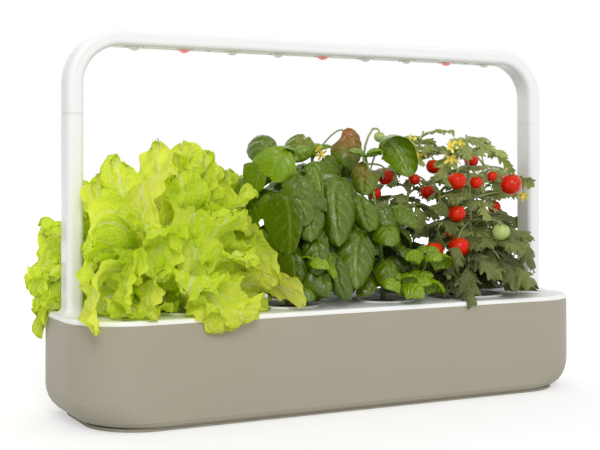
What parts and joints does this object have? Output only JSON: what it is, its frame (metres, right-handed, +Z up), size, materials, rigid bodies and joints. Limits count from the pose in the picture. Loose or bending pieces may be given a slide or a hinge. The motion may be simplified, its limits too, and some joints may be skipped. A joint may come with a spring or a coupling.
{
  "type": "countertop hydroponic garden",
  "caption": "Tabletop hydroponic garden: water basin, lid with planted lift-out pods, float gauge and a plug-in bridge of LED grow light.",
  "frame": {"origin": "middle of the rubber sole's underside, where the garden stands", "axes": "+X along the length towards the arm with the power inlet, -Y the front, +Z up"},
  "size_m": [0.6194, 0.2225, 0.392],
  "materials": {
    "sole": "matt",
    "shell_beige": "satin",
    "lid_white": "satin",
    "cup_white": "satin",
    "wick_felt": "matt",
    "guide_white": "satin",
    "float_white": "gloss",
    "arm_white": "satin",
    "socket_black": "gloss",
    "contact_metal": "polished",
    "lamp_white": "satin",
    "board_white": "satin",
    "chip_yellow": "gloss",
    "lens_white": "gloss",
    "lens_red": "gloss",
    "cover_grey": "satin",
    "screw_steel": "satin",
    "pod_pale": "matt",
    "plug_brown": "matt",
    "lettuce_green": "semi-gloss",
    "basil_green": "glossy",
    "tomato_green": "matt"
  },
  "bodies": {
    "base": {"base_sole": "sole", "basin": "shell_beige"},
    "lid": {"lid": "lid_white", "cup_1": "cup_white", "cup_2": "cup_white", "cup_3": "cup_white", "cup_4": "cup_white", "cup_5": "cup_white", "cup_6": "cup_white", "cup_7": "cup_white", "cup_8": "cup_white", "cup_9": "cup_white", "wicks": "wick_felt", "float_guide": "guide_white"},
    "arms": {"extension_arm_left": "arm_white", "extension_arm_right": "arm_white", "power_inlet": "socket_black", "contact_pins": "contact_metal"},
    "lamp": {"lamp_housing": "lamp_white", "contact_pads": "contact_metal", "led_board": "board_white", "led_chips": "chip_yellow", "lenses_white": "lens_white", "lenses_red": "lens_red", "lamp_cover": "cover_grey", "cover_screws": "screw_steel"},
    "float": {"float": "float_white"},
    "pod_1": {"pod_1": "pod_pale", "growth_plug_1": "plug_brown", "lettuce_1": "lettuce_green"},
    "pod_2": {"pod_2": "pod_pale", "growth_plug_2": "plug_brown", "lettuce_2": "lettuce_green"},
    "pod_3": {"pod_3": "pod_pale", "growth_plug_3": "plug_brown", "lettuce_3": "lettuce_green"},
    "pod_4": {"pod_4": "pod_pale", "growth_plug_4": "plug_brown", "basil_1": "basil_green"},
    "pod_5": {"pod_5": "pod_pale", "growth_plug_5": "plug_brown", "basil_2": "basil_green"},
    "pod_6": {"pod_6": "pod_pale", "growth_plug_6": "plug_brown", "basil_3": "basil_green"},
    "pod_7": {"pod_7": "pod_pale", "growth_plug_7": "plug_brown", "tomato_1": "tomato_green"},
    "pod_8": {"pod_8": "pod_pale", "growth_plug_8": "plug_brown", "tomato_2": "tomato_green"},
    "pod_9": {"pod_9": "pod_pale", "growth_plug_9": "plug_brown", "tomato_3": "tomato_green"}
  },
  "joints": [
    {"name": "lid_lift", "type": "slide", "parent": "base", "child": "lid", "axis": [0, 0, 1], "range_m": [0, 0.095]},
    {"name": "arms_lift", "type": "slide", "parent": "lid", "child": "arms", "axis": [0, 0, 1], "range_m": [0, 0.025]},
    {"name": "lamp_lift", "type": "slide", "parent": "arms", "child": "lamp", "axis": [0, 0, 1], "range_m": [0, 0.025]},
    {"name": "float_rise", "type": "slide", "parent": "lid", "child": "float", "axis": [0, 0, 1], "range_m": [0, 0.03]},
    {"name": "pod_lift_1", "type": "slide", "parent": "lid", "child": "pod_1", "axis": [0, 0, 1], "range_m": [0, 0.055]},
    {"name": "pod_lift_2", "type": "slide", "parent": "lid", "child": "pod_2", "axis": [0, 0, 1], "range_m": [0, 0.055]},
    {"name": "pod_lift_3", "type": "slide", "parent": "lid", "child": "pod_3", "axis": [0, 0, 1], "range_m": [0, 0.055]},
    {"name": "pod_lift_4", "type": "slide", "parent": "lid", "child": "pod_4", "axis": [0, 0, 1], "range_m": [0, 0.055]},
    {"name": "pod_lift_5", "type": "slide", "parent": "lid", "child": "pod_5", "axis": [0, 0, 1], "range_m": [0, 0.055]},
    {"name": "pod_lift_6", "type": "slide", "parent": "lid", "child": "pod_6", "axis": [0, 0, 1], "range_m": [0, 0.055]},
    {"name": "pod_lift_7", "type": "slide", "parent": "lid", "child": "pod_7", "axis": [0, 0, 1], "range_m": [0, 0.055]},
    {"name": "pod_lift_8", "type": "slide", "parent": "lid", "child": "pod_8", "axis": [0, 0, 1], "range_m": [0, 0.055]},
    {"name": "pod_lift_9", "type": "slide", "parent": "lid", "child": "pod_9", "axis": [0, 0, 1], "range_m": [0, 0.055]}
  ]
}
